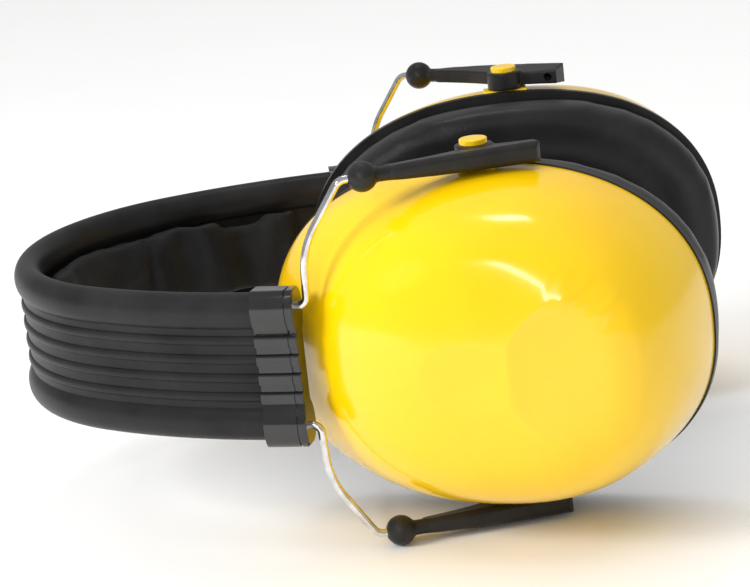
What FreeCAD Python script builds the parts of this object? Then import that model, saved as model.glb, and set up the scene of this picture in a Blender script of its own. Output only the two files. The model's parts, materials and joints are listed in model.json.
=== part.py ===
import FreeCAD, Part
import math
import os

from FreeCAD import Vector

# Earmuff hearing protector, lying on its side. X runs from the crown of the band down to the cups,
# Y from the right ear to the left ear, and Z from the wearer's back to the wearer's front, which is up here.
# Each piece is drawn about the crown, and the whole object is moved to its base at the end.

# Headband: an arch of two tangent arcs on each side of the crown
crown_radius = 52.0
crown_angle = 58.5
side_radius = 124.0
side_angle = 24.5
band_half_width = 17.3
bead_width = 8.8
bead_thickness = 6.8
web_inner = 1.0
web_outer = 1.9
rib_pitch = 4.4
rib_width = 2.2
rib_height = 0.7

# Padded lining inside the arch
lining_sweep = 75.5
lining_depth = 8.4
lining_half_width = 11.2
lining_neck_half_width = 8.0
lining_skin = 0.8
soft_gap = 0.3

# End caps
cap_length = 8.4
cap_end_wall = 1.3
cap_wall = 0.9
cap_rib_width = 2.9
cap_rib_height = 0.75
cap_seam_depth = 0.25
cap_seam_width = 0.4
cap_tail_length = 1.9

# Spring wires
wire_radius = 0.9
wire_height = 14.0
wire_lead = 0.2
wire_low_bend = 2.0
wire_rise = 13.0
wire_lean = 0.6
wire_mid_bend = 20.0
wire_high_bend = 3.0
wire_reach = 5.4
wire_tip_inset = 2.4
bore_end_wall = 1.2
fit_gap = 0.05

# Slider arms, along the wire ends
ball_x = 93.0
ball_y = 58.7
arm_height = 41.4
arm_angle = 19.4
arm_length = 40.5
arm_radius = 2.45
ball_radius = 3.5
neck_radius = 1.9
neck_length = 7.5
web_start = 8.5
web_half_thickness = 1.5
web_depth = 4.05
ear_radius = 4.3
ear_half_thickness = 2.2
ear_along = 27.4
ear_offset = 6.95
window_radius = 1.0
window_inset = 2.1

# Pivot studs
stud_radius = 2.0
stud_head_radius = 3.2
stud_head_height = 1.25
stud_head_round = 0.35
stud_grip = 5.2
boss_floor = 1.2
stud_fit = 0.01
pivot_gap = 0.05

# Cups: oval domes whose crown lies towards the lower end
cup_length = 104.0
cup_width = 77.0
cup_depth = 37.0
cup_offset = -1.0
oval_points = 40
facet_start = 16.0
facet_slope = 8.0
rim_depth = 3.0
cup_wall = 2.4
oval_power = 2.3
right_cup_tilt = 12.3
left_cup_tilt = 8.0
pad_length = 11.0
pad_depth = 6.0
pad_gap = 0.1
boss_radius = 4.4

# Backplate, cushion and the soft filling of each cup
plate_thickness = 2.2
plate_overhang = 0.4
spigot_depth = 3.4
spigot_wall = 1.8
spigot_gap = 0.2
cushion_height = 13.5
cushion_inset = 0.8
cushion_ring = 19.0
cushion_edge = 5.0
cushion_skin = 1.0
screen_thickness = 1.4
screen_gap = 0.3
foam_gap = 0.5

Z_AXIS = Vector(0, 0, 1)


# --- small helpers ------------------------------------------------------------------------------

def polar(angle):
    """Outward direction of the arch at an angle from the crown."""
    turn = math.radians(angle)
    return Vector(-math.cos(turn), math.sin(turn), 0)


def mirror_y(shape):
    return shape.mirror(Vector(0, 0, 0), Vector(0, 1, 0))


def flip(shape):
    """Half a turn about X: a left front piece becomes the right rear one."""
    turned = shape.copy()
    turned.rotate(Vector(0, 0, 0), Vector(1, 0, 0), 180)
    return turned


def moved(shape, step):
    copy = shape.copy()
    copy.translate(step)
    return copy


def one_solid(shape):
    """The single solid of a boolean result, with its split faces joined."""
    clean = shape.removeSplitter()
    if len(clean.Solids) != 1:
        raise ValueError("expected one solid, got %d" % len(clean.Solids))
    return clean.Solids[0]


def rectangle(x_low, x_high, z_low, z_high):
    corners = [Vector(x_low, 0, z_low), Vector(x_high, 0, z_low), Vector(x_high, 0, z_high),
               Vector(x_low, 0, z_high), Vector(x_low, 0, z_low)]
    return Part.Face(Part.makePolygon(corners))


def ellipse(x, z, half_x, half_z):
    """An ellipse in the XZ plane; the larger half axis comes first in the curve."""
    centre = Vector(x, 0, z)
    if half_x > half_z:
        curve = Part.Ellipse(centre + Vector(half_x, 0, 0), centre + Vector(0, 0, half_z), centre)
    else:
        curve = Part.Ellipse(centre + Vector(0, 0, half_z), centre - Vector(half_x, 0, 0), centre)
    return Part.Face(Part.Wire(curve.toShape()))


def disc(x, z, radius):
    return Part.Face(Part.Wire(Part.Circle(Vector(x, 0, z), Vector(0, -1, 0), radius).toShape()))


def joined_face(faces):
    joined = faces[0].fuse(faces[1:]).removeSplitter()
    return joined.Faces[0]


# --- the arch -----------------------------------------------------------------------------------

band_sweep = crown_angle + side_angle
crown_centre = Vector(crown_radius, 0, 0)
side_centre = crown_centre + polar(crown_angle) * (crown_radius - side_radius)
band_end = side_centre + polar(band_sweep) * side_radius
band_end_direction = Vector(math.sin(math.radians(band_sweep)), math.cos(math.radians(band_sweep)), 0)


def arc_run(section, radius, centre, start, stop):
    """Turn a section about one arc of the arch, from one angle to another."""
    solid = section(radius).revolve(Vector(0, 0, 0), Z_AXIS, stop - start)
    solid.rotate(Vector(0, 0, 0), Z_AXIS, 180 - stop)
    solid.translate(centre)
    return solid


def arch(section, sweep):
    """A section carried along the whole arch, to the same angle on both sides."""
    crown = arc_run(section, crown_radius, crown_centre, -crown_angle, crown_angle)
    side = arc_run(section, side_radius, side_centre, crown_angle, sweep)
    return one_solid(crown.fuse([side, mirror_y(side)]))


def rib_places():
    return [rib_pitch * step for step in (-1.5, -0.5, 0.5, 1.5)]


def band_section(radius, grow=0.0, rib_half=rib_width / 2, rib_rise=rib_height):
    """Two edge beads, the web between them, and the ribs on its outer face."""
    bead_z = band_half_width - bead_width / 2
    faces = [rectangle(radius - web_inner - grow, radius + web_outer + grow, -bead_z, bead_z)]
    for side in (-1, 1):
        faces.append(ellipse(radius, side * bead_z, bead_thickness / 2 + grow, bead_width / 2 + grow))
    for z in rib_places():
        faces.append(ellipse(radius + web_outer + grow, z, rib_rise, rib_half))
    return joined_face(faces)


def bored_band_section(radius):
    section = band_section(radius)
    holes = [disc(radius, side * wire_height, wire_radius + fit_gap) for side in (-1, 1)]
    return section.cut(holes).Faces[0]


def make_headband():
    return arch(bored_band_section, band_sweep)


def lining_section(shrink):
    """A pad that is narrow between the beads and wider where it stands clear of them."""
    def section(radius):
        back = radius - web_inner - soft_gap - shrink
        front = radius - web_inner - lining_depth + shrink
        step = radius - bead_thickness / 2 - soft_gap - shrink
        neck = lining_neck_half_width - shrink
        wide = lining_half_width - shrink
        return joined_face([rectangle(front, back, -neck, neck), rectangle(front, step, -wide, wide)])
    return section


def make_lining():
    """The leatherette cover with its closed hollow, and the foam strip inside it."""
    inner_sweep = lining_sweep - math.degrees(lining_skin / side_radius)
    foam_sweep = inner_sweep - math.degrees(soft_gap / side_radius)
    cover = arch(lining_section(0.0), lining_sweep)
    hollow = arch(lining_section(lining_skin), inner_sweep)
    foam = arch(lining_section(lining_skin + soft_gap), foam_sweep)
    return cover.cut(hollow).Solids[0], foam


def cap_section(grow):
    def section(radius):
        return band_section(radius, grow, cap_rib_width / 2, cap_rib_height)
    return section


def cap_hollow_section(radius):
    return band_section(radius, fit_gap, rib_width / 2 + fit_gap)


def make_end_cap():
    """A sleeve with one closed end over the left end of the band, with two wire holes."""
    start = band_sweep - math.degrees(cap_length / side_radius)
    stop = band_sweep + math.degrees(cap_end_wall / side_radius)
    outer = arc_run(cap_section(fit_gap + cap_wall), side_radius, side_centre, start, stop)
    before_start = start - math.degrees(cap_end_wall / side_radius)
    hollow = arc_run(cap_hollow_section, side_radius, side_centre, before_start, band_sweep)
    seam_start = stop - math.degrees(cap_tail_length / side_radius)
    seam_stop = seam_start + math.degrees(cap_seam_width / side_radius)
    outside = fit_gap + cap_wall
    ring_outer = arc_run(cap_section(outside + cap_wall), side_radius, side_centre, seam_start, seam_stop)
    ring_core = arc_run(cap_section(outside - cap_seam_depth), side_radius, side_centre, start, stop)
    cap = outer.cut([hollow, ring_outer.cut(ring_core)])
    for side in (-1, 1):
        foot = band_end + Vector(0, 0, side * wire_height) - band_end_direction * cap_end_wall
        cap = cap.cut(Part.makeCylinder(wire_radius + fit_gap, 4 * cap_end_wall, foot, band_end_direction))
    return one_solid(cap)


# --- wires --------------------------------------------------------------------------------------

arm_turn = math.radians(arm_angle)
arm_direction = Vector(math.cos(arm_turn), -math.sin(arm_turn), 0)
arm_outward = Vector(math.sin(arm_turn), math.cos(arm_turn), 0)
ball_place = Vector(ball_x, ball_y, arm_height)


def rounded_route(points, radii):
    """Straight runs joined by tangent arcs, one radius for each inner point."""
    edges = []
    start = points[0]
    for before, corner, after, radius in zip(points, points[1:], points[2:], radii):
        come = (corner - before).normalize()
        leave = (after - corner).normalize()
        turn = math.acos(max(-1.0, min(1.0, come.dot(leave))))
        cut_back = radius * math.tan(turn / 2)
        first = corner - come * cut_back
        last = corner + leave * cut_back
        inward = (leave - come).normalize()
        middle = corner + inward * (radius / math.cos(turn / 2) - radius)
        edges.append(Part.LineSegment(start, first).toShape())
        edges.append(Part.Arc(first, middle, last).toShape())
        start = last
    edges.append(Part.LineSegment(start, points[-1]).toShape())
    return edges


def arc_edge(centre, radius, start, stop, height):
    marks = [centre + polar(angle) * radius + Vector(0, 0, height)
             for angle in (start, (start + stop) / 2, stop)]
    return Part.Arc(*marks).toShape()


def make_front_wire():
    """One spring wire: through the band's upper bead, out of both end caps and along both front arms.

    Outside each cap it turns up, leans over towards the ball and straightens just before it.
    """
    lift = Vector(0, 0, wire_height)
    low_corner = band_end + lift + band_end_direction * (cap_end_wall + wire_lead + wire_low_bend)
    high_corner = ball_place - arm_direction * wire_reach
    mid_corner = low_corner + Vector(wire_lean, 0, wire_rise)
    tip = ball_place + arm_direction * (arm_length - wire_tip_inset)
    route = rounded_route([band_end + lift, low_corner, mid_corner, high_corner, tip],
                          [wire_low_bend, wire_mid_bend, wire_high_bend])
    half = [arc_edge(side_centre, side_radius, crown_angle, band_sweep, wire_height)] + route
    crown = arc_edge(crown_centre, crown_radius, -crown_angle, crown_angle, wire_height)
    edges = [mirror_y(edge) for edge in reversed(half)] + [crown] + half
    path = Part.Wire(Part.__sortEdges__(edges))
    far_tip = Vector(tip.x, -tip.y, tip.z)
    far_direction = Vector(arm_direction.x, -arm_direction.y, 0)
    ring = Part.Wire(Part.Circle(far_tip, far_direction, wire_radius).toShape())
    wire = path.makePipeShell([ring], True, False)
    print("wire length %.1f, volume ratio %.4f"
          % (path.Length, wire.Volume / (path.Length * math.pi * wire_radius ** 2)))
    return wire.Solids[0] if wire.Solids else Part.Solid(wire)


# --- arms and studs -----------------------------------------------------------------------------

def place_on_arm(shape):
    """From the arm's own frame, with X along it and Y outwards, to the left front arm's place."""
    shape.rotate(Vector(0, 0, 0), Z_AXIS, -arm_angle)
    shape.translate(ball_place)
    return shape


stud_place = ball_place + arm_direction * ear_along - arm_outward * ear_offset
ear_low = arm_height - ear_half_thickness
ear_high = arm_height + ear_half_thickness
pad_top = ear_low - pad_gap
boss_foot = pad_top - stud_grip - boss_floor


def make_arm():
    """Ball, neck and tube on the wire, with a web that carries the ear on the cushion side."""
    along = Vector(1, 0, 0)
    ball = Part.makeSphere(ball_radius)
    neck = Part.makeCone(neck_radius, arm_radius, neck_length, Vector(0, 0, 0), along)
    tube = Part.makeCylinder(arm_radius, arm_length - neck_length, Vector(neck_length, 0, 0), along)
    ear_at = Vector(ear_along, -ear_offset, 0)
    ear = Part.makeCylinder(ear_radius, 2 * ear_half_thickness, ear_at - Vector(0, 0, ear_half_thickness))
    outline = [Vector(web_start, 0, 0), Vector(web_start, -neck_radius, 0),
               Vector(ear_along - ear_radius, -ear_offset, 0),
               Vector(ear_along + ear_radius, -ear_offset, 0),
               Vector(arm_length, -web_depth, 0), Vector(arm_length, 0, 0), Vector(web_start, 0, 0)]
    web = Part.Face(Part.makePolygon(outline)).extrude(Vector(0, 0, 2 * web_half_thickness))
    web.translate(Vector(0, 0, -web_half_thickness))
    arm = ball.fuse([neck, tube, ear, web])
    bore_length = ball_radius + arm_length - bore_end_wall
    bore = Part.makeCylinder(wire_radius + fit_gap, bore_length, Vector(-ball_radius, 0, 0), along)
    pivot = Part.makeCylinder(stud_radius + pivot_gap, 4 * ear_half_thickness,
                              ear_at - Vector(0, 0, 2 * ear_half_thickness))
    window = Part.makeCylinder(window_radius, 3 * arm_radius, Vector(arm_length - window_inset, 0, 0),
                               Vector(0, -1, 0))
    arm = one_solid(arm.cut([bore, pivot, window]))
    return place_on_arm(arm)


def make_stud():
    """A flat-headed pin through the ear into the boss of the cup."""
    head_seat = ear_high + pivot_gap
    foot = pad_top - stud_grip
    pin_length = head_seat - foot + stud_head_height / 2
    axis_foot = Vector(stud_place.x, stud_place.y, 0)
    pin = Part.makeCylinder(stud_radius, pin_length, axis_foot + Vector(0, 0, foot))
    head = Part.makeCylinder(stud_head_radius, stud_head_height, axis_foot + Vector(0, 0, head_seat))
    rim = [edge for edge in head.Edges if edge.BoundBox.ZMin > head_seat + stud_head_height / 2]
    head = head.makeFillet(stud_head_round, rim)
    return one_solid(head.fuse(pin))


# --- cups ---------------------------------------------------------------------------------------
# Each cup is drawn with its pivot axis at the origin, X towards the lower end and Y outwards.

def oval(x_low, x_high, half_width, depth, power=oval_power):
    """A closed smooth superellipse in the plane at one depth."""
    centre = (x_low + x_high) / 2
    half_length = (x_high - x_low) / 2
    points = []
    for step in range(oval_points):
        turn = 2 * math.pi * (step + 0.5) / oval_points
        along = math.cos(turn)
        across = math.sin(turn)
        x = centre + half_length * math.copysign(abs(along) ** (2 / power), along)
        z = half_width * math.copysign(abs(across) ** (2 / power), across)
        points.append(Vector(x, depth, z))
    curve = Part.BSplineCurve()
    curve.interpolate(Points=points, PeriodicFlag=True)
    return Part.Wire(curve.toShape())


def dome_ovals(inset):
    """The dome's cross-sections: depth share, then how far each end and side has drawn in."""
    shares = [(0.0, 0.0, 0.0, 0.0), (0.27, 0.10, 0.014, 0.026), (0.45, 0.22, 0.034, 0.062),
              (0.62, 0.35, 0.070, 0.115), (0.78, 0.50, 0.12, 0.20), (0.90, 0.66, 0.19, 0.305),
              (0.97, 0.80, 0.27, 0.42), (1.0, 0.93, 0.36, 0.54)]
    half_length = cup_length / 2
    half_width = cup_width / 2
    rim_low = cup_offset - half_length + inset
    rim_high = cup_offset + half_length - inset
    rows = [(-rim_depth, rim_low, rim_high, half_width - inset)]
    for depth, upper, lower, side in shares:
        low = rim_low + half_length * upper
        high = rim_high - half_length * lower
        rows.append((depth * (cup_depth - inset), low, high, half_width * (1 - side) - inset))
    return rows


def facet_block(inset):
    """What the sloping facet takes off the dome near its lower end."""
    corner = Vector(facet_start, cup_depth - inset, 0)
    block_corner = corner - Vector(cup_length / 4, 0, cup_width)
    block = Part.makeBox(2 * cup_length, cup_depth, 2 * cup_width, block_corner)
    block.rotate(corner, Z_AXIS, -facet_slope)
    return block


def dome(inset, start=None):
    """The dome as a solid, drawn in by the inset, from the rim or from a given depth."""
    rows = dome_ovals(inset)
    wires = [oval(low, high, half, depth) for depth, low, high, half in rows]
    solid = Part.makeLoft(wires, True, False).cut(facet_block(inset))
    if start is not None:
        keep_corner = Vector(-cup_length, start, -cup_width)
        keep = Part.makeBox(2 * cup_length, 2 * cup_depth, 2 * cup_width, keep_corner)
        solid = solid.common(keep)
    return solid


def oval_plate(inset, low, high, power=oval_power):
    half_length = cup_length / 2 - inset
    half_width = cup_width / 2 - inset
    face = Part.Face(oval(cup_offset - half_length, cup_offset + half_length, half_width, low, power))
    return face.extrude(Vector(0, high - low, 0))


def make_cup():
    """The hollow dome with a pad and an inner boss for each pivot stud."""
    shell = dome(0.0)
    half_width = cup_width / 2
    pads = []
    pad_height = pad_top - half_width + cup_wall
    for low in (-pad_top, pad_top - pad_height):
        corner = Vector(-pad_length / 2, -pad_depth / 2, low)
        pads.append(Part.makeBox(pad_length, pad_depth, pad_height, corner))
    shell = shell.fuse(pads)
    shell = shell.cut(dome(cup_wall))
    boss_height = half_width - cup_wall / 2 - boss_foot
    slab_corner = Vector(-2 * boss_radius, -pad_depth / 2, -cup_width)
    slab = Part.makeBox(4 * boss_radius, pad_depth, 2 * cup_width, slab_corner)
    for side in (-1, 1):
        outward = Vector(0, 0, side)
        boss = Part.makeCylinder(boss_radius, boss_height, outward * boss_foot, outward)
        shell = shell.fuse(boss.common(slab))
    for side in (-1, 1):
        outward = Vector(0, 0, side)
        hole_foot = outward * (pad_top - stud_grip)
        shell = shell.cut(Part.makeCylinder(stud_radius + stud_fit, 2 * stud_grip, hole_foot, outward))
    return one_solid(shell)


def place_cup(shape, tilt):
    placed = shape.copy()
    placed.rotate(Vector(0, 0, 0), Z_AXIS, tilt)
    placed.translate(Vector(stud_place.x, stud_place.y, 0))
    return placed


def boss_room(gap):
    """Room for the two stud bosses, with a gap around them."""
    room = []
    for side in (-1, 1):
        foot = Vector(0, 0, side * (boss_foot - gap))
        room.append(Part.makeCylinder(boss_radius + gap, cup_width / 2, foot, Vector(0, 0, side)))
    return room


def make_backplate():
    """A flanged ring: the flange closes the rim and the spigot stands inside the dome."""
    flange_low = -rim_depth - plate_thickness
    flange = oval_plate(-plate_overhang, flange_low, -rim_depth)
    spigot_inset = cup_wall + spigot_gap
    spigot = oval_plate(spigot_inset, -rim_depth, -rim_depth + spigot_depth)
    opening = oval_plate(spigot_inset + spigot_wall, flange_low - 1, -rim_depth + spigot_depth + 1)
    spigot = spigot.cut(boss_room(spigot_gap))
    return one_solid(flange.fuse(spigot).cut(opening))


def cushion_ring_solid(shrink):
    """A rounded oval ring, drawn in on every side by the shrink."""
    low = -rim_depth - plate_thickness - cushion_height + shrink
    high = -rim_depth - plate_thickness - soft_gap - shrink
    outer = oval_plate(cushion_inset + shrink, low, high)
    inner = oval_plate(cushion_inset + cushion_ring - shrink, low - 1, high + 1, 2.0)
    ring = outer.cut(inner)
    face_edges = [edge for edge in ring.Edges if edge.BoundBox.YMax < (low + high) / 2]
    return one_solid(ring.makeFillet(cushion_edge - shrink, face_edges))


def make_cushion():
    cover = cushion_ring_solid(0.0).cut(cushion_ring_solid(cushion_skin))
    foam = cushion_ring_solid(cushion_skin + soft_gap)
    return cover.Solids[0], foam


def make_insert():
    """Acoustic foam that follows the inside of the dome behind the spigot."""
    start = -rim_depth + spigot_depth + screen_gap
    return one_solid(dome(cup_wall + foam_gap, start).cut(boss_room(foam_gap)))


def make_screen():
    """The thin foam disc across the opening of the backplate."""
    high = -rim_depth + spigot_depth
    disc = oval_plate(cup_wall + spigot_gap + spigot_wall + screen_gap, high - screen_thickness, high)
    return one_solid(disc.cut(boss_room(screen_gap)))


# --- assembly -----------------------------------------------------------------------------------

def build():
    parts = {"headband": make_headband()}
    parts["lining_cover"], parts["lining_foam"] = make_lining()
    front_wire = make_front_wire()
    parts["front_wire"] = front_wire
    parts["rear_wire"] = flip(front_wire)
    arm = make_arm()
    stud = make_stud()
    rear_stud = stud.copy()
    rear_stud.rotate(Vector(stud_place.x, stud_place.y, 0), Vector(1, 0, 0), 180)
    band_side_pieces = {"end_cap": make_end_cap(), "front_arm": arm, "front_stud": stud,
                        "rear_arm": moved(arm, Vector(0, 0, -2 * arm_height)), "rear_stud": rear_stud}
    cushion, cushion_foam = make_cushion()
    cup_pieces = {"cup_shell": make_cup(), "backplate": make_backplate(), "ear_cushion": cushion,
                  "cushion_foam": cushion_foam, "acoustic_foam": make_insert(), "foam_screen": make_screen()}
    swap = {"front_arm": "rear_arm", "rear_arm": "front_arm",
            "front_stud": "rear_stud", "rear_stud": "front_stud"}
    for name, shape in band_side_pieces.items():
        parts["left_" + name] = shape
        parts["right_" + swap.get(name, name)] = flip(shape)
    for name, shape in cup_pieces.items():
        parts["left_" + name] = place_cup(shape, left_cup_tilt)
        parts["right_" + name] = flip(place_cup(shape, right_cup_tilt))
    return parts


def base_shift(parts):
    """The move that brings the middle of the object's base to the origin."""
    box = Part.makeCompound(list(parts.values())).optimalBoundingBox(False, False)
    return Vector(-(box.XMin + box.XMax) / 2, -(box.YMin + box.YMax) / 2, -box.ZMin)


parts = build()
shift = base_shift(parts)
os.makedirs("parts", exist_ok=True)
for name, shape in parts.items():
    shape.translate(shift)
    shape.exportStep(os.path.join("parts", name + ".step"))
    print("%-20s %9.1f mm3  valid %s  solids %d" % (name, shape.Volume, shape.isValid(), len(shape.Solids)))
print("shift %.3f %.3f %.3f" % tuple(shift))
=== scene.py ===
import json
import math

import bpy
from mathutils import Matrix, Quaternion, Vector, noise


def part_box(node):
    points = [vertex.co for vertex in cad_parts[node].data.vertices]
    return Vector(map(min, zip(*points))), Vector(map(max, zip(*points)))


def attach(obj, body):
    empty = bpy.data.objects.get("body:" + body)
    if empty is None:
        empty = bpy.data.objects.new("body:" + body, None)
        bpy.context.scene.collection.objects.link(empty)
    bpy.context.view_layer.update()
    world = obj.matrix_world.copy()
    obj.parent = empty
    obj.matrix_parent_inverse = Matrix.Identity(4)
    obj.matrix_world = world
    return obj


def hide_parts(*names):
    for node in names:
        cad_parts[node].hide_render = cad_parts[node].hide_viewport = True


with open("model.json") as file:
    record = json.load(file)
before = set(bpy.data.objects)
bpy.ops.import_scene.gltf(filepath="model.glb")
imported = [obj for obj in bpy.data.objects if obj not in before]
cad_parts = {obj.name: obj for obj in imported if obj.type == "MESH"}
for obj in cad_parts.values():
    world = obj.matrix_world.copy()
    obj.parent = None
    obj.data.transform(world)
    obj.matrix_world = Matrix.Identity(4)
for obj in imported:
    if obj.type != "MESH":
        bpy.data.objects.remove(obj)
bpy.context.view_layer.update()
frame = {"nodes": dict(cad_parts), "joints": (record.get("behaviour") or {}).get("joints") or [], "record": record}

nodes = frame["nodes"]
record = frame["record"]
mm = 0.001
print("frame loaded:", len(nodes), "nodes")


# working in edit mode as by hand

def pickOnly(piece):
    # deselect everything, then select one object and make it active
    if bpy.context.mode != "OBJECT":
        bpy.ops.object.mode_set(mode="OBJECT")
    bpy.ops.object.select_all(action="DESELECT")
    piece.select_set(True)
    bpy.context.view_layer.objects.active = piece


def pickVerts(piece, wanted):
    # select the vertices whose place passes the test, and stay in edit mode
    pickOnly(piece)
    bpy.ops.object.mode_set(mode="EDIT")
    bpy.ops.mesh.select_mode(type="VERT")
    bpy.ops.mesh.select_all(action="DESELECT")
    bpy.ops.object.mode_set(mode="OBJECT")
    for vert in piece.data.vertices:
        vert.select = wanted(vert.co)
    bpy.ops.object.mode_set(mode="EDIT")


def editAll(piece):
    pickVerts(piece, lambda place: True)


def leaveEdit():
    bpy.ops.object.mode_set(mode="OBJECT")


def applyModifier(piece, kind, **settings):
    pickOnly(piece)
    modifier = piece.modifiers.new(kind.lower(), kind)
    for name, value in settings.items():
        setattr(modifier, name, value)
    bpy.ops.object.modifier_apply(modifier=modifier.name)


def subdivide(piece, levels):
    applyModifier(piece, "SUBSURF", levels=levels, render_levels=levels)


def outwards(piece):
    editAll(piece)
    bpy.ops.mesh.remove_doubles(threshold=0.00002)
    bpy.ops.mesh.normals_make_consistent(inside=False)
    leaveEdit()


def newOval(name, halfLength, halfWidth, centre, depth, power, points=96):
    # a circle in the XZ plane, squared off a little and drawn out to an oval
    bpy.ops.object.select_all(action="DESELECT")
    bpy.ops.mesh.primitive_circle_add(vertices=points, radius=1, fill_type="NOTHING",
                                      rotation=(math.pi / 2, 0, 0))
    piece = bpy.context.object
    piece.name = name
    bpy.ops.object.transform_apply(location=True, rotation=True, scale=True)
    for vert in piece.data.vertices:
        vert.co.x = math.copysign(abs(vert.co.x) ** (2 / power), vert.co.x)
        vert.co.z = math.copysign(abs(vert.co.z) ** (2 / power), vert.co.z)
    editAll(piece)
    bpy.ops.transform.resize(value=(halfLength, 1, halfWidth), center_override=(0, 0, 0))
    bpy.ops.transform.translate(value=(centre, depth, 0))
    return piece


def growRows(rows, start):
    # extrude the selected ring to each row: (depth, centre, half length, half width)
    depth, centre, halfLength, halfWidth = start
    for newDepth, newCentre, newLength, newWidth in rows:
        bpy.ops.mesh.extrude_edges_move()
        bpy.ops.transform.resize(value=(newLength / halfLength, 1, newWidth / halfWidth),
                                 center_override=(centre, depth, 0))
        bpy.ops.transform.translate(value=(newCentre - centre, newDepth - depth, 0))
        depth, centre, halfLength, halfWidth = newDepth, newCentre, newLength, newWidth


# materials

def newMaterial(name, **values):
    material = bpy.data.materials.new(name)
    material.use_nodes = True
    shader = material.node_tree.nodes["Principled BSDF"]
    for socket, value in values.items():
        shader.inputs[socket.replace("_", " ")].default_value = value
    return material, material.node_tree, shader


def addNode(tree, kind, **inputs):
    node = tree.nodes.new(kind)
    for socket, value in inputs.items():
        node.inputs[socket.replace("_", " ")].default_value = value
    return node


def objectPlace(tree, stretch=(1, 1, 1)):
    place = tree.nodes.new("ShaderNodeTexCoord")
    mapping = addNode(tree, "ShaderNodeMapping", Scale=stretch)
    tree.links.new(place.outputs["Object"], mapping.inputs["Vector"])
    return mapping.outputs["Vector"]


def noiseOver(tree, place, scale, detail=4.0, roughness=0.55):
    pattern = addNode(tree, "ShaderNodeTexNoise", Scale=scale, Detail=detail, Roughness=roughness)
    tree.links.new(place, pattern.inputs["Vector"])
    return pattern.outputs["Fac"]


def blendColours(tree, factor, stops):
    ramp = tree.nodes.new("ShaderNodeValToRGB")
    marks = ramp.color_ramp.elements
    while len(marks) < len(stops):
        marks.new(0.5)
    for mark, (position, colour) in zip(marks, stops):
        mark.position = position
        mark.color = (*colour, 1)
    tree.links.new(factor, ramp.inputs["Fac"])
    return ramp.outputs["Color"]


def spread(tree, factor, low, high):
    # carry a 0..1 pattern to a range
    ranged = addNode(tree, "ShaderNodeMapRange", To_Min=low, To_Max=high)
    tree.links.new(factor, ranged.inputs["Value"])
    return ranged.outputs["Result"]


def bumpFrom(tree, shader, heights):
    # stack bumps: (height socket, strength, distance)
    below = None
    for height, strength, distance in heights:
        bump = addNode(tree, "ShaderNodeBump", Strength=strength, Distance=distance)
        tree.links.new(height, bump.inputs["Height"])
        if below:
            tree.links.new(below, bump.inputs["Normal"])
        below = bump.outputs["Normal"]
    tree.links.new(below, shader.inputs["Normal"])


def mouldedYellow():
    look = dict(deep=(0.93, 0.55, 0.0), plain=(0.965, 0.60, 0.001), pale=(0.98, 0.63, 0.003))
    material, tree, shader = newMaterial("mouldedYellow", IOR=1.5, Coat_Weight=0.35, Coat_Roughness=0.06,
                                         Subsurface_Weight=0.06, Subsurface_Scale=0.002)
    shader.inputs["Subsurface Radius"].default_value = (1.0, 0.6, 0.1)
    place = objectPlace(tree)
    clouds = noiseOver(tree, place, 22, 3)
    colour = blendColours(tree, clouds, [(0.3, look["deep"]), (0.5, look["plain"]), (0.72, look["pale"])])
    tree.links.new(colour, shader.inputs["Base Color"])
    rubbed = noiseOver(tree, objectPlace(tree, (1, 4, 1)), 160, 6, 0.7)
    tree.links.new(spread(tree, rubbed, 0.12, 0.24), shader.inputs["Roughness"])
    bumpFrom(tree, shader, [(noiseOver(tree, place, 60, 2), 0.02, 0.0006),
                            (noiseOver(tree, place, 900, 2), 0.02, 0.0002)])
    return material


def extrudedBlack():
    look = dict(dark=(0.010, 0.010, 0.011), worn=(0.024, 0.024, 0.025))
    material, tree, shader = newMaterial("extrudedBlack", IOR=1.45, Specular_IOR_Level=0.26)
    streaks = noiseOver(tree, objectPlace(tree, (6, 6, 900)), 1.0, 5)
    mottle = noiseOver(tree, objectPlace(tree), 55, 5)
    tree.links.new(blendColours(tree, mottle, [(0.35, look["dark"]), (0.75, look["worn"])]),
                   shader.inputs["Base Color"])
    tree.links.new(spread(tree, mottle, 0.34, 0.46), shader.inputs["Roughness"])
    bumpFrom(tree, shader, [(streaks, 0.10, 0.0002),
                            (noiseOver(tree, objectPlace(tree), 1800, 2), 0.08, 0.0001)])
    return material


def glossBlack():
    look = dict(dark=(0.008, 0.008, 0.009), pale=(0.014, 0.013, 0.013))
    material, tree, shader = newMaterial("glossBlack", IOR=1.52, Coat_Weight=0.5, Coat_Roughness=0.05)
    mottle = noiseOver(tree, objectPlace(tree), 120, 4)
    tree.links.new(blendColours(tree, mottle, [(0.35, look["dark"]), (0.7, look["pale"])]),
                   shader.inputs["Base Color"])
    tree.links.new(spread(tree, mottle, 0.10, 0.20), shader.inputs["Roughness"])
    bumpFrom(tree, shader, [(noiseOver(tree, objectPlace(tree), 220, 2), 0.05, 0.0004)])
    return material


def grainedBlack():
    look = dict(dark=(0.010, 0.010, 0.010), worn=(0.026, 0.025, 0.024))
    material, tree, shader = newMaterial("grainedBlack", IOR=1.5, Specular_IOR_Level=0.32)
    place = objectPlace(tree)
    mottle = noiseOver(tree, place, 90, 5)
    grain = noiseOver(tree, place, 2600, 3, 0.6)
    tree.links.new(blendColours(tree, mottle, [(0.35, look["dark"]), (0.78, look["worn"])]),
                   shader.inputs["Base Color"])
    tree.links.new(spread(tree, grain, 0.28, 0.44), shader.inputs["Roughness"])
    bumpFrom(tree, shader, [(grain, 0.22, 0.0002), (noiseOver(tree, place, 300, 2), 0.06, 0.0004)])
    return material


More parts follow.
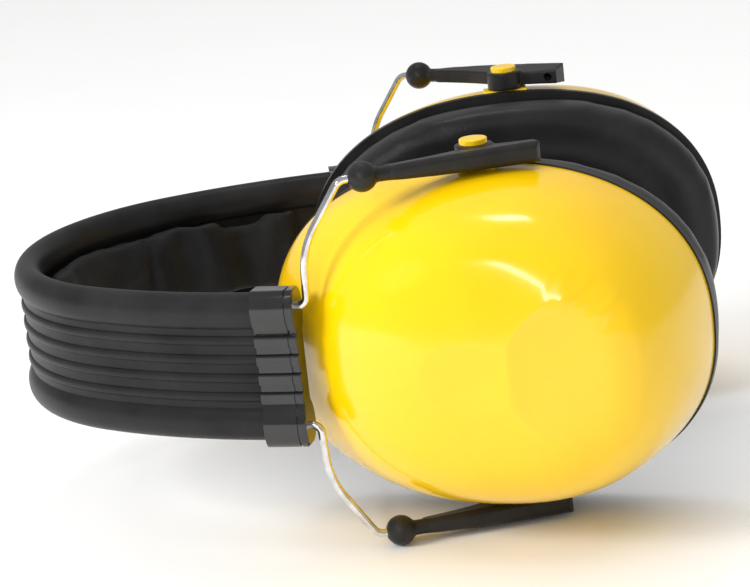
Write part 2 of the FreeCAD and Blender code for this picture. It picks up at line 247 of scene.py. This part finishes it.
def brightSteel():
    look = dict(clean=(0.80, 0.80, 0.82), dull=(0.56, 0.55, 0.54))
    material, tree, shader = newMaterial("brightSteel", Metallic=1.0)
    mottle = noiseOver(tree, objectPlace(tree), 260, 5)
    tree.links.new(blendColours(tree, mottle, [(0.35, look["dull"]), (0.6, look["clean"])]),
                   shader.inputs["Base Color"])
    tree.links.new(spread(tree, mottle, 0.07, 0.16), shader.inputs["Roughness"])
    bumpFrom(tree, shader, [(noiseOver(tree, objectPlace(tree), 1500, 2), 0.05, 0.0001)])
    return material


def softLeatherette(name, roughness, tone, specular):
    look = dict(dark=(0.011, 0.011, 0.012), pale=(0.022, 0.022, 0.023))
    material, tree, shader = newMaterial(name, IOR=1.46, Specular_IOR_Level=specular, Sheen_Weight=0.04,
                                         Sheen_Roughness=0.4)
    place = objectPlace(tree)
    pebbles = addNode(tree, "ShaderNodeTexVoronoi", Scale=1500)
    pebbles.feature = "SMOOTH_F1"
    tree.links.new(place, pebbles.inputs["Vector"])
    mottle = noiseOver(tree, place, 70, 5)
    dark = tuple(tone * part for part in look["dark"])
    pale = tuple(tone * part for part in look["pale"])
    tree.links.new(blendColours(tree, mottle, [(0.3, dark), (0.75, pale)]), shader.inputs["Base Color"])
    tree.links.new(spread(tree, mottle, roughness - 0.05, roughness + 0.06), shader.inputs["Roughness"])
    bumpFrom(tree, shader, [(noiseOver(tree, place, 130, 4), 0.12, 0.0008),
                            (pebbles.outputs["Distance"], 0.18, 0.0002)])
    return material


def openFoam():
    # the pore tone is painted shade: the cell centres, where the bump sinks in, are drawn darker than the cell
    # walls
    look = dict(poreShade=(0.006, 0.006, 0.007), skin=(0.045, 0.045, 0.048))
    material, tree, shader = newMaterial("openFoam", Roughness=0.95, Sheen_Weight=0.1)
    cells = addNode(tree, "ShaderNodeTexVoronoi", Scale=1100)
    tree.links.new(objectPlace(tree), cells.inputs["Vector"])
    colour = blendColours(tree, cells.outputs["Distance"], [(0.1, look["poreShade"]), (0.6, look["skin"])])
    tree.links.new(colour, shader.inputs["Base Color"])
    bumpFrom(tree, shader, [(cells.outputs["Distance"], 0.7, 0.0005)])
    return material


finishes = {
    "yellow": mouldedYellow(),
    "band": extrudedBlack(),
    "gloss": glossBlack(),
    "grain": grainedBlack(),
    "steel": brightSteel(),
    "cushionSkin": softLeatherette("cushionSkin", 0.36, 1.0, 0.36),
    "liningSkin": softLeatherette("liningSkin", 0.50, 0.8, 0.22),
    "foam": openFoam(),
}
print("materials made:", len(finishes))


def paint(piece, finish):
    piece.data.materials.clear()
    piece.data.materials.append(finishes[finish])


# where each cup sits

def cupPlace(side):
    # pivot, and the cup's own axes: along it to the lower end, outwards, and across
    joint = next(j for j in frame["joints"] if j["name"] == side + "_cup_tilt")
    seal = next(m for m in record["mounts"] if m["name"] == side + "_ear_seal")
    outward = -Vector(seal["axis"])
    along = Vector((abs(outward.y), -outward.x * math.copysign(1, outward.y), 0))
    across = along.cross(outward)
    turn = Matrix((along, outward, across)).transposed().to_4x4()
    return Matrix.Translation(Vector(joint["pos_m"])) @ turn


def settle(piece, side, body, finish, stoodFor):
    # put a piece drawn in the cup's own axes in its place, with its place in the mesh
    piece.data.transform(cupPlace(side))
    piece.data.update()
    pickOnly(piece)
    bpy.ops.object.shade_smooth_by_angle(angle=math.radians(40))
    paint(piece, finish)
    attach(piece, body)
    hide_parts(*stoodFor)
    return piece


def pairOf(piece, nameLeft, nameRight):
    # the piece becomes the left one, and its copy with its own mesh the right one
    other = piece.copy()
    other.data = piece.data.copy()
    bpy.context.scene.collection.objects.link(other)
    piece.name, other.name = nameLeft, nameRight
    return {"left": piece, "right": other}


# cup shells

shell = dict(length=104 * mm, width=77 * mm, offset=-1.0 * mm, rim=-3.0 * mm, wall=2.4 * mm, power=2.3,
             facetStart=15.0 * mm, facetTilt=math.radians(10.5), facetDish=1.4 * mm, dishShare=0.45,
             padLength=11 * mm, padDepth=6 * mm, padTop=39.1 * mm, padEdge=0.4 * mm, gridSpan=24)

# depth, then how far the band end, the lower end and the two sides have drawn in
domeRows = [(-2.6, 0, 0, 0), (0, 0.3, 0, 0), (5, 2.0, 0.3, 0.35), (10, 5.4, 0.8, 1.0),
            (16.5, 11.2, 1.9, 2.4), (22.8, 17.6, 3.7, 4.5), (28.4, 24.6, 6.6, 7.9),
            (32.4, 31.4, 10.8, 12.4), (34.6, 37.2, 15.6, 17.4), (36.0, 42.6, 21.4, 23.4),
            (36.9, 47.6, 30.0, 30.5)]
# where the crown is softened: how far past the facet's start, how deep, and how often
softenings = [(14 * mm, 2.2 * mm, 40), (9 * mm, 1.5 * mm, 12), (-2 * mm, 1.2 * mm, 1)]


def rowOf(depth, upper, lower, side):
    halfLength = shell["length"] / 2 - (upper + lower) * mm / 2
    centre = shell["offset"] + (upper - lower) * mm / 2
    return depth * mm, centre, halfLength, shell["width"] / 2 - side * mm


def makeShell():
    start = rowOf(shell["rim"] / mm, 0, 0, 0)
    piece = newOval("cupShell", start[2], start[3], start[1], start[0], shell["power"])
    growRows([rowOf(*row) for row in domeRows], start)
    bpy.ops.mesh.fill_grid(span=shell["gridSpan"])
    leaveEdit()
    subdivide(piece, 2)
    outwards(piece)
    # cut the crown along the sloping facet, and press what stands above it down to a shallow dish
    crown = max(v.co.y for v in piece.data.vertices if abs(v.co.x - shell["facetStart"]) < 1.5 * mm)
    normal = Vector((math.sin(shell["facetTilt"]), math.cos(shell["facetTilt"]), 0))
    onFacet = Vector((shell["facetStart"], crown, 0))
    editAll(piece)
    bpy.ops.mesh.bisect(plane_co=onFacet, plane_no=normal)
    leaveEdit()
    for vert in piece.data.vertices:
        above = (vert.co - onFacet).dot(normal)
        if above > 0:
            vert.co -= normal * (above + min(above * shell["dishShare"], shell["facetDish"]))
    # soften where the facet runs into the shoulder, and break its crease a little
    def nearFacet(place, start, reach):
        return place.x > shell["facetStart"] + start and (place - onFacet).dot(normal) > -reach

    for start, reach, repeat in softenings:
        pickVerts(piece, lambda place: nearFacet(place, start, reach))
        bpy.ops.mesh.vertices_smooth(factor=0.5, repeat=repeat)
        leaveEdit()
    applyModifier(piece, "SOLIDIFY", thickness=shell["wall"], offset=-1)
    # the small pads that the arms' ears bear on
    for side in (-1, 1):
        low = shell["width"] / 2 - shell["wall"] / 2
        height = shell["padTop"] - low
        bpy.ops.object.select_all(action="DESELECT")
        bpy.ops.mesh.primitive_cube_add(size=1, location=(0, 0, side * (low + height / 2)),
                                        scale=(shell["padLength"], shell["padDepth"], height))
        pad = bpy.context.object
        bpy.ops.object.transform_apply(location=True, rotation=True, scale=True)
        editAll(pad)
        bpy.ops.mesh.bevel(offset=shell["padEdge"], segments=3)
        leaveEdit()
        bpy.ops.object.select_all(action="DESELECT")
        pad.select_set(True)
        piece.select_set(True)
        bpy.context.view_layer.objects.active = piece
        bpy.ops.object.join()
    return piece


shells = pairOf(makeShell(), "leftCupShell", "rightCupShell")
for side, piece in shells.items():
    settle(piece, side, side + "_cup", "yellow", [side + "_cup_shell"])
print("cup shells made:", len(shells["left"].data.polygons), "faces each")


# padded pieces

def swell(pad, voxel, pressure, cap, spare=0.0, held=None):
    # remesh the pad, blow it up as cloth, and let no point move further than the cap
    applyModifier(pad, "REMESH", mode="VOXEL", voxel_size=voxel)
    rest = [vert.co.copy() for vert in pad.data.vertices]
    pinned = pad.vertex_groups.new(name="pinned")
    if held:
        for vert in pad.data.vertices:
            weight = held(vert.co)
            if weight > 0:
                pinned.add([vert.index], weight, "REPLACE")
    cloth = pad.modifiers.new("cloth", "CLOTH")
    cloth.settings.quality = 6
    cloth.settings.mass = 0.2
    cloth.settings.tension_stiffness = 12
    cloth.settings.compression_stiffness = 8
    cloth.settings.bending_stiffness = 0.15
    cloth.settings.use_pressure = True
    cloth.settings.uniform_pressure_force = pressure
    cloth.settings.shrink_min = -spare
    cloth.settings.effector_weights.gravity = 0
    if held:
        cloth.settings.vertex_group_mass = "pinned"
    cloth.collision_settings.use_collision = False
    cloth.point_cache.frame_start = 1
    cloth.point_cache.frame_end = 20
    scene = bpy.context.scene
    for step in range(1, 21):
        scene.frame_set(step)
    pickOnly(pad)
    bpy.ops.object.modifier_apply(modifier=cloth.name)
    scene.frame_set(1)
    farthest = 0
    for vert, place in zip(pad.data.vertices, rest):
        move = vert.co - place
        farthest = max(farthest, move.length)
        if move.length > cap:
            vert.co = place + move * (cap / move.length)
    pad.vertex_groups.clear()
    print("  swelled", pad.name, "moved up to %.1f mm" % (farthest * 1000))
    subdivide(pad, 1)


# ear cushions

cushion = dict(power=2.3, cap=0.9 * mm, voxel=3.2 * mm, pressure=2.0)

# how far in from the cup's outline, and the depth, all the way round the ring's section
cushionRows = [(1.6, -5.7), (0.9, -7.5), (0.7, -10.5), (0.9, -14), (2.2, -16.8), (4.6, -17.9),
               (8.0, -17.6),
               (12.0, -16.3), (15.6, -13.8), (18.2, -10.4), (19.0, -7.2), (18.4, -5.7), (10, -5.6)]


def makeCushion():
    def row(inset, depth):
        halfLength, halfWidth = shell["length"] / 2 - inset * mm, shell["width"] / 2 - inset * mm
        return (depth * mm, shell["offset"], halfLength, halfWidth)

    start = row(*cushionRows[0])
    piece = newOval("cushion", start[2], start[3], start[1], start[0], cushion["power"], 72)
    growRows([row(*place) for place in cushionRows[1:]], start)
    leaveEdit()
    # close the ring's section at its back
    editAll(piece)
    bpy.ops.mesh.select_mode(type="EDGE")
    bpy.ops.mesh.select_all(action="DESELECT")
    bpy.ops.mesh.select_non_manifold(extend=False)
    bpy.ops.mesh.bridge_edge_loops()
    leaveEdit()
    outwards(piece)
    swell(piece, cushion["voxel"], cushion["pressure"], cushion["cap"])
    subdivide(piece, 1)
    return piece


cushions = pairOf(makeCushion(), "leftEarCushion", "rightEarCushion")
for side, piece in cushions.items():
    settle(piece, side, side + "_cup", "cushionSkin",
           [side + "_ear_cushion", side + "_cushion_foam"])
print("ear cushions made:", len(cushions["left"].data.polygons), "faces each")


# lining of the band

arch = dict(crownRadius=52 * mm, crownAngle=58.5, sideRadius=124 * mm, beadHalf=3.4 * mm)
lining = dict(sweep=74.5, front=8.3 * mm, back=4.0 * mm, halfWidth=10.3 * mm, corner=1.5 * mm,
              gathers=(-66, -46, -8, 47, 67), cap=1.3 * mm, voxel=3.0 * mm, pressure=3.0, spare=0.05,
              pinch=0.16, rearPinch=0.15, foldDepth=1.1 * mm, foldWidth=2.2, creaseDepth=0.35 * mm)

bandLow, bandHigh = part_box("headband")
crownCentre = Vector((bandLow.x + arch["beadHalf"] + arch["crownRadius"], (bandLow.y + bandHigh.y) / 2,
                      (bandLow.z + bandHigh.z) / 2))


def archWay(angle):
    turn = math.radians(angle)
    return Vector((-math.cos(turn), math.sin(turn), 0))


def sideCentre(sign):
    return crownCentre + archWay(sign * arch["crownAngle"]) * (arch["crownRadius"] - arch["sideRadius"])


def archPlace(angle, out, across):
    # a point at an angle from the crown, so far outside the band's middle line
    if abs(angle) <= arch["crownAngle"]:
        centre, radius = crownCentre, arch["crownRadius"]
    else:
        centre, radius = sideCentre(math.copysign(1, angle)), arch["sideRadius"]
    return centre + archWay(angle) * (radius + out) + Vector((0, 0, across))


def alongArch(place):
    # the other way round: angle from the crown and distance outside the middle line
    arm = place - crownCentre
    angle = math.degrees(math.atan2(arm.y, -arm.x))
    radius = arch["crownRadius"]
    if abs(angle) > arch["crownAngle"]:
        arm = place - sideCentre(math.copysign(1, angle))
        angle = math.degrees(math.atan2(arm.y, -arm.x))
        radius = arch["sideRadius"]
    return angle, math.hypot(arm.x, arm.y) - radius, arm.z


def gathering(angle):
    # 1 at each gather of the cover, falling off to nothing beside it
    return max(math.exp(-((angle - at) / lining["foldWidth"]) ** 2) for at in lining["gathers"])


def makeLining():
    bpy.ops.object.select_all(action="DESELECT")
    bpy.ops.mesh.primitive_plane_add(size=1, location=(0, 0, 0))
    piece = bpy.context.object
    piece.name = "bandLining"
    # stand the section across the right end of the arch
    corners = [(lining["back"], -1), (lining["back"], 1), (lining["front"], 1), (lining["front"], -1)]
    order = sorted(piece.data.vertices, key=lambda v: math.atan2(v.co.y, v.co.x))
    for vert, (inward, sign) in zip(order, corners):
        vert.co = archPlace(-lining["sweep"], -inward, sign * lining["halfWidth"])
    editAll(piece)
    bpy.ops.mesh.bevel(offset=lining["corner"], affect="VERTICES", segments=3)
    sideTurn = math.radians(lining["sweep"] - arch["crownAngle"])
    crownTurn = math.radians(2 * arch["crownAngle"])
    for centre, turn, steps in ((sideCentre(-1), sideTurn, 10), (crownCentre, crownTurn, 48),
                                (sideCentre(1), sideTurn, 10)):
        bpy.ops.mesh.spin(steps=steps, angle=turn, center=centre, axis=(0, 0, 1))
    leaveEdit()
    outwards(piece)
    # draw the pad in where the cover is gathered
    for vert in piece.data.vertices:
        angle, out, across = alongArch(vert.co)
        pinch = lining["pinch"] * gathering(angle)
        middle = -(lining["front"] + lining["back"]) / 2
        edgePinch = pinch if across > 0 else pinch * lining["rearPinch"]
        vert.co = archPlace(angle, middle + (out - middle) * (1 - pinch), across * (1 - edgePinch))
    swell(piece, lining["voxel"], lining["pressure"], lining["cap"], lining["spare"],
          lambda place: gathering(alongArch(place)[0]) ** 2)
    subdivide(piece, 1)
    # folds that run across the pad at each gather, and slacker creases between them
    for vert in piece.data.vertices:
        angle, out, across = alongArch(vert.co)
        wander = 2.5 * noise.noise(Vector((across * 90, 3.1, 0)))
        fold = gathering(angle + wander)
        slack = noise.noise(Vector((angle * 0.16, across * 70, out * 60)))
        fine = noise.noise(Vector((angle * 0.55, across * 160, 4.0)))
        inside = max(0.0, min(1.0, (-out - lining["back"]) / (2 * mm)))
        push = lining["foldDepth"] * fold - lining["creaseDepth"] * (slack + 0.35 * fine)
        vert.co = archPlace(angle, out + inside * push, across)
    return piece


liningPiece = makeLining()
pickOnly(liningPiece)
bpy.ops.object.shade_smooth()
paint(liningPiece, "liningSkin")
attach(liningPiece, "headband")
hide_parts("lining_cover", "lining_foam")
print("lining made:", len(liningPiece.data.polygons), "faces")


# slider arms

arm = dict(length=40.5 * mm, ballRadius=3.5 * mm, neckRadius=1.75 * mm, barStart=5.5 * mm,
           outer=2.45 * mm, earAlong=27.4 * mm, earIn=6.95 * mm, earRadius=4.3 * mm, earHalf=2.2 * mm,
           boreRadius=0.95 * mm,
           windowIn=2.1 * mm, windowRadius=1.0 * mm, chamfer=1.15 * mm, voxel=0.3 * mm,
           neckLength=7 * mm, neckMiddle=4 * mm, endWall=1.2 * mm, drillPast=5 * mm, windowDepth=8 * mm)

# along the bar: how far in the web reaches, and half the bar's height at its outer and inner edge
barRows = [(5.5, 1.7, 1.75, 1.6), (10, 2.3, 2.1, 1.6), (16, 3.4, 2.3, 1.6), (23, 5.4, 2.45, 1.6),
           (27.4, 6.4, 2.5, 1.6), (31.7, 6.2, 2.55, 1.6), (37, 4.9, 2.6, 1.7), (40.5, 4.0, 2.6, 1.8)]


def armPlace(node, side):
    # the ball is the end nearest the band and the outermost point of the arm
    low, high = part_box(node)
    slide = next(j for j in frame["joints"] if j["name"] == side + "_height_slide")
    along = Vector(slide["axis"])
    sign = 1 if side == "left" else -1
    outward = Vector((-along.y * sign, along.x * sign, 0))
    outermost = high.y - arm["ballRadius"] if side == "left" else low.y + arm["ballRadius"]
    ball = Vector((low.x + arm["ballRadius"], outermost, (low.z + high.z) / 2))
    turn = Matrix((along, outward, along.cross(outward))).transposed().to_4x4()
    return Matrix.Translation(ball) @ turn


def joinTo(piece, others):
    bpy.ops.object.select_all(action="DESELECT")
    for other in others:
        other.select_set(True)
    piece.select_set(True)
    bpy.context.view_layer.objects.active = piece
    bpy.ops.object.join()


def cutOut(piece, radius, start, stop):
    # bore a round hole from one point to another
    middle, way = (start + stop) / 2, stop - start
    bpy.ops.object.select_all(action="DESELECT")
    bpy.ops.mesh.primitive_cylinder_add(vertices=24, radius=radius, depth=way.length, location=middle,
                                        rotation=way.to_track_quat("Z", "Y").to_euler())
    drill = bpy.context.object
    bpy.ops.object.transform_apply(location=True, rotation=True, scale=True)
    applyModifier(piece, "BOOLEAN", operation="DIFFERENCE", object=drill, solver="EXACT")
    bpy.data.objects.remove(drill)


def makeArm():
    bpy.ops.object.select_all(action="DESELECT")
    bpy.ops.mesh.primitive_cube_add(size=1, location=((arm["barStart"] + arm["length"]) / 2, 0, 0),
                                    scale=(arm["length"] - arm["barStart"], 2 * arm["outer"],
                                           2 * arm["outer"]))
    bar = bpy.context.object
    bar.name = "arm"
    bpy.ops.object.transform_apply(location=True, rotation=True, scale=True)
    for row in barRows[1:-1]:
        editAll(bar)
        bpy.ops.mesh.bisect(plane_co=(row[0] * mm, 0, 0), plane_no=(1, 0, 0))
        leaveEdit()
    for vert in bar.data.vertices:
        row = min(barRows, key=lambda r: abs(r[0] * mm - vert.co.x))
        half = row[2] if vert.co.y > 0 else row[3]
        vert.co.y = min(arm["outer"], row[2] * mm) if vert.co.y > 0 else -row[1] * mm
        vert.co.z = math.copysign(half * mm, vert.co.z)
    # chamfer the outer corners along the bar
    pickVerts(bar, lambda place: place.y > 0)
    bpy.ops.mesh.bevel(offset=arm["chamfer"], segments=1)
    leaveEdit()
    parts = []
    bpy.ops.mesh.primitive_uv_sphere_add(segments=32, ring_count=20, radius=arm["ballRadius"])
    parts.append(bpy.context.object)
    bpy.ops.mesh.primitive_cylinder_add(vertices=24, radius=arm["neckRadius"], depth=arm["neckLength"],
                                        location=(arm["neckMiddle"], 0, 0), rotation=(0, math.pi / 2, 0))
    parts.append(bpy.context.object)
    bpy.ops.mesh.primitive_cylinder_add(vertices=40, radius=arm["earRadius"], depth=2 * arm["earHalf"],
                                        location=(arm["earAlong"], -arm["earIn"], 0))
    parts.append(bpy.context.object)
    joinTo(bar, parts)
    pickOnly(bar)
    bpy.ops.object.transform_apply(location=True, rotation=True, scale=True)
    applyModifier(bar, "REMESH", mode="VOXEL", voxel_size=arm["voxel"])
    applyModifier(bar, "SMOOTH", factor=0.5, iterations=3)
    cutOut(bar, arm["boreRadius"], Vector((-arm["drillPast"], 0, 0)),
           Vector((arm["length"] - arm["endWall"], 0, 0)))
    windowAt = arm["length"] - arm["windowIn"]
    cutOut(bar, arm["windowRadius"], Vector((windowAt, 0, 0)),
           Vector((windowAt, -arm["windowDepth"], 0)))
    return bar


armPiece = makeArm()
for side in ("left", "right"):
    for end in ("front", "rear"):
        node = side + "_" + end + "_arm"
        piece = armPiece.copy()
        piece.data = armPiece.data.copy()
        bpy.context.scene.collection.objects.link(piece)
        piece.name = side + end.capitalize() + "Arm"
        piece.data.transform(armPlace(node, side))
        pickOnly(piece)
        bpy.ops.object.shade_smooth_by_angle(angle=math.radians(50))
        paint(piece, "grain")
        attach(piece, side + "_arms")
        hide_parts(node)
bpy.data.objects.remove(armPiece)
print("arms made:", len(piece.data.polygons), "faces each")


# end caps

cap = dict(start=79.1, stop=83.6, seamShare=0.79, seamWidth=0.045, seamSlope=0.005, seamDepth=0.3 * mm,
           lipShare=0.97, edge=0.3 * mm, sideZone=17 * mm)

# the cap's section, outside the band's middle line and across it, for one half; the other half mirrors it
capHalf = [(2.75, 0), (2.75, 0.75), (3.55, 1.0), (3.62, 1.25), (3.62, 3.15), (3.55, 3.4), (2.75, 3.65),
           (2.75, 5.15), (3.55, 5.4), (3.62, 5.65), (3.62, 7.55), (3.55, 7.8), (2.75, 8.05), (2.85, 8.9),
           (3.6, 10.2), (4.15, 11.8), (4.35, 13.4), (4.2, 15.2), (3.7, 16.8), (3.0, 18.0),
           (2.6, 18.25), (-1.6, 18.25), (-2.9, 17.6),
           (-3.9, 16), (-4.35, 13.5), (-3.9, 10.9), (-2.9, 9.2), (-1.95, 8.2), (-1.95, 4), (-1.95, 0)]


def makeEndCap(side, sign):
    outline = [(out, across) for out, across in capHalf]
    outline += [(out, -across) for out, across in reversed(capHalf[1:-1])]
    bpy.ops.object.select_all(action="DESELECT")
    bpy.ops.mesh.primitive_circle_add(vertices=len(outline), radius=1, fill_type="NGON")
    piece = bpy.context.object
    piece.name = side + "EndCap"
    for vert, (out, across) in zip(piece.data.vertices, outline):
        vert.co = archPlace(sign * cap["start"], out * mm, across * mm)
    editAll(piece)
    seamStart, seamStop = cap["seamShare"], cap["seamShare"] + cap["seamWidth"]
    shares = [0.0, 0.3, 0.6, seamStart, seamStart + cap["seamSlope"], seamStop,
              seamStop + cap["seamSlope"], cap["lipShare"], 1.0]
    for before, after in zip(shares, shares[1:]):
        turn = math.radians((after - before) * (cap["stop"] - cap["start"]))
        bpy.ops.mesh.spin(steps=1, angle=turn * sign, center=sideCentre(sign), axis=(0, 0, 1))
    leaveEdit()
    for vert in piece.data.vertices:
        angle, out, across = alongArch(vert.co)
        share = (abs(angle) - cap["start"]) / (cap["stop"] - cap["start"])
        shrink = 0
        if seamStart + 0.6 * cap["seamSlope"] < share < seamStop + 0.4 * cap["seamSlope"]:
            shrink = cap["seamDepth"]
        elif share > (1 + cap["lipShare"]) / 2:
            shrink = cap["edge"]
        if shrink:
            out -= math.copysign(shrink, out)
            if abs(across) > cap["sideZone"]:
                across -= math.copysign(min(shrink, abs(across)), across)
            vert.co = archPlace(angle, out, across)
    outwards(piece)
    return piece


for side, sign in (("left", 1), ("right", -1)):
    piece = makeEndCap(side, sign)
    pickOnly(piece)
    bpy.ops.object.shade_smooth_by_angle(angle=math.radians(32))
    paint(piece, "gloss")
    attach(piece, "headband")
    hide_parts(side + "_end_cap")
print("end caps made")


# foam behind the screens

foamDisc = dict(inset=4.8 * mm, back=-0.9 * mm, edge=-0.6 * mm, front=0.2 * mm, bulge=0.1 * mm,
                nearBack=-0.85 * mm, bow=1.6 * mm, uneven=0.25 * mm, gridSpan=12)


def makeFoamDisc():
    start = (foamDisc["back"], shell["offset"], shell["length"] / 2 - foamDisc["inset"],
             shell["width"] / 2 - foamDisc["inset"])
    piece = newOval("foamDisc", start[2], start[3], start[1], start[0], shell["power"], 48)
    growRows([(foamDisc["edge"], start[1], start[2] + foamDisc["bulge"], start[3] + foamDisc["bulge"]),
              (foamDisc["front"], start[1], start[2], start[3])], start)
    bpy.ops.mesh.fill_grid(span=foamDisc["gridSpan"])
    leaveEdit()
    pickVerts(piece, lambda place: place.y < foamDisc["nearBack"])
    bpy.ops.mesh.fill_grid(span=foamDisc["gridSpan"])
    bpy.ops.mesh.subdivide(number_cuts=2)
    leaveEdit()
    # the disc bows in a little, and its face is uneven
    for vert in piece.data.vertices:
        if vert.co.y < foamDisc["nearBack"]:
            reach = math.hypot((vert.co.x - start[1]) / start[2], vert.co.z / start[3])
            lift = foamDisc["bow"] * max(0.0, 1 - reach * reach)
            vert.co.y -= lift + foamDisc["uneven"] * noise.noise(vert.co * 260)
    outwards(piece)
    return piece


foams = pairOf(makeFoamDisc(), "leftFoamScreen", "rightFoamScreen")
for side, piece in foams.items():
    settle(piece, side, side + "_cup", "foam", [side + "_foam_screen", side + "_acoustic_foam"])
print("foam screens made")


# CAD nodes that keep their shape

for name, node in nodes.items():
    if name == "headband":
        paint(node, "band")
    elif name.endswith("backplate"):
        paint(node, "grain")
    elif name.endswith("wire"):
        paint(node, "steel")
    elif name.endswith("stud"):
        paint(node, "yellow")


# floor, light and camera

studio = dict(floorTone=(0.93, 0.93, 0.925), worldTone=(1, 1, 1), worldStrength=0.42,
              cameraPlace=(0.10051, -0.64710, 0.21528), heading=-0.15160, dip=0.25541, roll=-0.11071,
              focalShare=3.6922)


def makeStage():
    bpy.ops.object.select_all(action="DESELECT")
    bpy.ops.mesh.primitive_plane_add(size=8, location=(0, 0, 0))
    floor = bpy.context.object
    floor.name = "studioFloor"
    material, tree, shader = newMaterial("paleFloor", Roughness=0.5)
    mottle = noiseOver(tree, objectPlace(tree), 9, 3)
    tone = studio["floorTone"]
    darker = tuple(0.985 * part for part in tone)
    tree.links.new(blendColours(tree, mottle, [(0.3, darker), (0.7, tone)]), shader.inputs["Base Color"])
    floor.data.materials.append(material)
    world = bpy.context.scene.world or bpy.data.worlds.new("studio")
    bpy.context.scene.world = world
    world.use_nodes = True
    back = world.node_tree.nodes["Background"]
    back.inputs["Color"].default_value = (*studio["worldTone"], 1)
    back.inputs["Strength"].default_value = studio["worldStrength"]


def makeLight(name, place, aim, size, power, mirrored, turn=0.0):
    lamp = bpy.data.lights.new(name, "AREA")
    lamp.shape = "RECTANGLE"
    lamp.size, lamp.size_y = size
    lamp.energy = power
    holder = bpy.data.objects.new(name, lamp)
    bpy.context.scene.collection.objects.link(holder)
    holder.location = place
    facing = (Vector(aim) - Vector(place)).to_track_quat("-Z", "Y")
    holder.rotation_euler = (facing @ Quaternion((0, 0, 1), turn)).to_euler()
    holder.visible_glossy = mirrored


def makeCamera():
    heading, dip, roll = studio["heading"], studio["dip"], studio["roll"]
    forward = Vector((math.sin(heading) * math.cos(dip), math.cos(heading) * math.cos(dip),
                      -math.sin(dip)))
    right = Vector((math.cos(heading), -math.sin(heading), 0))
    up = right.cross(forward)
    rightRolled = right * math.cos(roll) + up * math.sin(roll)
    upRolled = up * math.cos(roll) - right * math.sin(roll)
    turn = Matrix((rightRolled, upRolled, -forward)).transposed().to_4x4()
    camera = bpy.data.objects.new("camera", bpy.data.cameras.new("camera"))
    bpy.context.scene.collection.objects.link(camera)
    camera.matrix_world = Matrix.Translation(Vector(studio["cameraPlace"])) @ turn
    camera.data.sensor_width = 36
    camera.data.lens = studio["focalShare"] * camera.data.sensor_width
    camera.data.clip_start = 0.01
    bpy.context.scene.camera = camera


makeStage()
makeLight("keyLight", (-0.72, -0.42, 0.50), (0, 0, 0.04), (0.35, 0.35), 6.0, False)
makeLight("fillLight", (0.75, -0.5, 0.45), (0.03, 0, 0.03), (0.5, 0.5), 0.3, False)
makeLight("topLight", (0.0, 0.6, 1.8), (0, 0.2, 0), (3.0, 3.0), 34, False)
makeLight("streakLight", (-0.12, -0.66, 0.34), (0.047, -0.080, 0.063), (0.045, 0.55), 1.0, True,
          turn=0.65)
makeLight("curlLight", (-0.03, 0.16, 0.74), (0.045, -0.07, 0.075), (0.16, 0.06), 0.35, True)
makeCamera()
bpy.context.scene.view_settings.view_transform = "Standard"
print("stage, lights and camera set")
